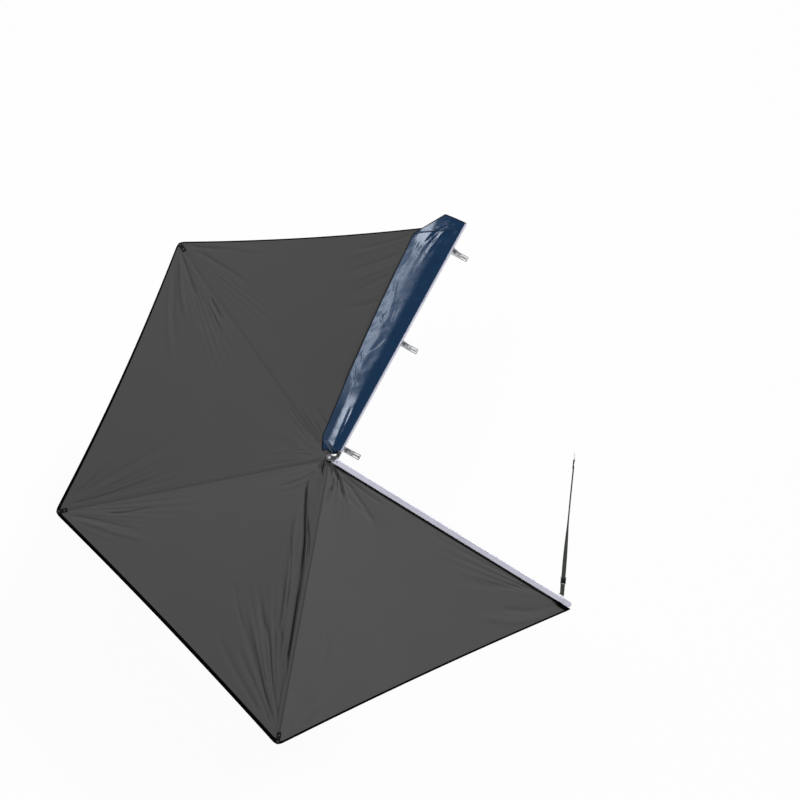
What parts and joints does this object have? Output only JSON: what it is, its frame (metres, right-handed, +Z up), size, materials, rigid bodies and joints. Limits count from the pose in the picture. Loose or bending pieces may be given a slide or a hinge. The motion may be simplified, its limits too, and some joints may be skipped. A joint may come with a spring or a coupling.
{
  "type": "vehicle side awning",
  "caption": "Wrap-round vehicle side awning: swinging arms on a shared hub carry fan-like fabric panels, with a rack-mounted beam, stowed drop-down legs, an open cover flap and a tie strap.",
  "frame": {"origin": "under the foot of the middle bracket, on the face that rests on the rack bar, 60 mm from the beam's back", "axes": "+X along the beam from the hub to the front of the vehicle, +Y away from the vehicle, +Z up"},
  "size_m": [4.985, 4.7934, 0.2422],
  "materials": {
    "aluminium": "satin anodised",
    "zinc_steel": "zinc plated",
    "black_casting": "black powder coat",
    "black_plastic": "moulded, fine grain",
    "bush_plastic": "natural",
    "foot_rubber": "matt",
    "canopy_fabric": "coated canvas, dark grey",
    "cover_pvc": "glossy coated cover cloth, blue black",
    "strap_webbing": "woven webbing"
  },
  "bodies": {
    "base": {"base_beam": "aluminium", "beam_end_cap": "black_plastic", "hub_bracket": "zinc_steel", "hub_pin": "zinc_steel", "hub_nut": "zinc_steel", "bracket_rear": "zinc_steel", "bracket_rear_bolts": "zinc_steel", "bracket_middle": "zinc_steel", "bracket_middle_bolts": "zinc_steel", "bracket_front": "zinc_steel", "bracket_front_bolts": "zinc_steel"},
    "cover": {"cover_flap": "cover_pvc", "cover_end_gusset": "cover_pvc"},
    "arm_1": {"arm_1_channel": "aluminium", "arm_1_knuckle": "black_casting", "arm_1_bush": "bush_plastic", "arm_1_tip": "black_plastic", "leg_1_pin": "zinc_steel", "canopy_panel_1": "canopy_fabric"},
    "leg_1": {"leg_1_tube": "aluminium"},
    "leg_1_collar": {"leg_1_collar": "black_plastic"},
    "leg_1_inner": {"leg_1_inner_tube": "aluminium", "leg_1_foot": "foot_rubber"},
    "arm_2": {"arm_2_channel": "aluminium", "arm_2_knuckle": "black_casting", "arm_2_bush": "bush_plastic", "arm_2_tip": "black_plastic", "leg_2_pin": "zinc_steel", "canopy_panel_2": "canopy_fabric"},
    "leg_2": {"leg_2_tube": "aluminium"},
    "leg_2_collar": {"leg_2_collar": "black_plastic"},
    "leg_2_inner": {"leg_2_inner_tube": "aluminium", "leg_2_foot": "foot_rubber"},
    "arm_3": {"arm_3_channel": "aluminium", "arm_3_knuckle": "black_casting", "arm_3_bush": "bush_plastic", "arm_3_tip": "black_plastic", "leg_3_pin": "zinc_steel", "canopy_panel_3": "canopy_fabric"},
    "leg_3": {"leg_3_tube": "aluminium"},
    "leg_3_collar": {"leg_3_collar": "black_plastic"},
    "leg_3_inner": {"leg_3_inner_tube": "aluminium", "leg_3_foot": "foot_rubber"},
    "arm_4": {"arm_4_channel": "aluminium", "arm_4_knuckle": "aluminium", "arm_4_bush": "bush_plastic", "arm_4_tip": "aluminium", "leg_4_pin": "zinc_steel", "canopy_panel_4": "canopy_fabric", "strap_eye": "zinc_steel", "strap_loop": "strap_webbing", "buckle_frame": "zinc_steel", "strap_webbing": "strap_webbing", "strap_hook": "zinc_steel"},
    "leg_4": {"leg_4_tube": "aluminium"},
    "leg_4_collar": {"leg_4_collar": "black_plastic"},
    "leg_4_inner": {"leg_4_inner_tube": "aluminium", "leg_4_foot": "foot_rubber"},
    "buckle_lever": {"buckle_lever": "black_plastic"}
  },
  "joints": [
    {"name": "arm_1_swing", "type": "hinge", "parent": "base", "child": "arm_1", "pos_m": [-1.27, 0.122, 0.02], "axis": [0, 0, 1], "range_deg": [-64, 0], "deforming": ["canopy_panel_1"]},
    {"name": "leg_1_swing", "type": "hinge", "parent": "arm_1", "child": "leg_1", "pos_m": [-0.22668, 2.26113, 0.0395], "axis": [0.8988, -0.4384, 0], "range_deg": [0, 90]},
    {"name": "leg_1_extend", "type": "slide", "parent": "leg_1", "child": "leg_1_inner", "axis": [-0.4384, -0.8988, 0], "range_m": [0, 0.89]},
    {"name": "leg_1_collar_twist", "type": "hinge", "parent": "leg_1", "child": "leg_1_collar", "pos_m": [-0.77026, 1.14663, 0.0395], "axis": [0.4384, 0.8988, 0], "range_deg": [0, 90]},
    {"name": "arm_2_swing", "type": "hinge", "parent": "arm_1", "child": "arm_2", "pos_m": [-1.27, 0.122, 0.07], "axis": [0, 0, 1], "range_deg": [-65.5, 0], "deforming": ["canopy_panel_2"]},
    {"name": "leg_2_swing", "type": "hinge", "parent": "arm_2", "child": "leg_2", "pos_m": [-2.78387, 1.95847, 0.0895], "axis": [0.7716, 0.6361, 0], "range_deg": [0, 90]},
    {"name": "leg_2_extend", "type": "slide", "parent": "leg_2", "child": "leg_2_inner", "axis": [0.6361, -0.7716, 0], "range_m": [0, 0.89]},
    {"name": "leg_2_collar_twist", "type": "hinge", "parent": "leg_2", "child": "leg_2_collar", "pos_m": [-1.99513, 1.00165, 0.0895], "axis": [-0.6361, 0.7716, 0], "range_deg": [0, 90]},
    {"name": "arm_3_swing", "type": "hinge", "parent": "arm_2", "child": "arm_3", "pos_m": [-1.27, 0.122, 0.12], "axis": [0, 0, 1], "range_deg": [-69, 0], "deforming": ["canopy_panel_3"]},
    {"name": "leg_3_swing", "type": "hinge", "parent": "arm_3", "child": "leg_3", "pos_m": [-3.52701, -0.63318, 0.1395], "axis": [-0.3173, 0.9483, 0], "range_deg": [0, 90]},
    {"name": "leg_3_extend", "type": "slide", "parent": "leg_3", "child": "leg_3_inner", "axis": [0.9483, 0.3173, 0], "range_m": [0, 0.89]},
    {"name": "leg_3_collar_twist", "type": "hinge", "parent": "leg_3", "child": "leg_3_collar", "pos_m": [-2.35109, -0.23973, 0.1395], "axis": [-0.9483, -0.3173, 0], "range_deg": [0, 90]},
    {"name": "arm_4_swing", "type": "hinge", "parent": "arm_3", "child": "arm_4", "pos_m": [-1.27, 0.122, 0.17], "axis": [0, 0, 1], "range_deg": [-68.5, 0], "deforming": ["canopy_panel_4"]},
    {"name": "leg_4_swing", "type": "hinge", "parent": "arm_4", "child": "leg_4", "pos_m": [-1.39456, -2.25474, 0.1895], "axis": [-0.9986, 0.0523, 0], "range_deg": [0, 90]},
    {"name": "leg_4_extend", "type": "slide", "parent": "leg_4", "child": "leg_4_inner", "axis": [0.0523, 0.9986, 0], "range_m": [0, 0.89]},
    {"name": "leg_4_collar_twist", "type": "hinge", "parent": "leg_4", "child": "leg_4_collar", "pos_m": [-1.32966, -1.01644, 0.1895], "axis": [-0.0523, -0.9986, 0], "range_deg": [0, 90]},
    {"name": "cover_flap_lift", "type": "hinge", "parent": "base", "child": "cover", "pos_m": [0, 0.075, 0.086], "axis": [-1, 0, 0], "range_deg": [-110, 0]},
    {"name": "buckle_lever_lift", "type": "hinge", "parent": "arm_4", "child": "buckle_lever", "pos_m": [-1.22663, -2.23852, 0.193], "axis": [-0.3582, 0.9336, 0], "range_deg": [0, 60], "stiffness_Nm_per_rad": 0.08}
  ]
}
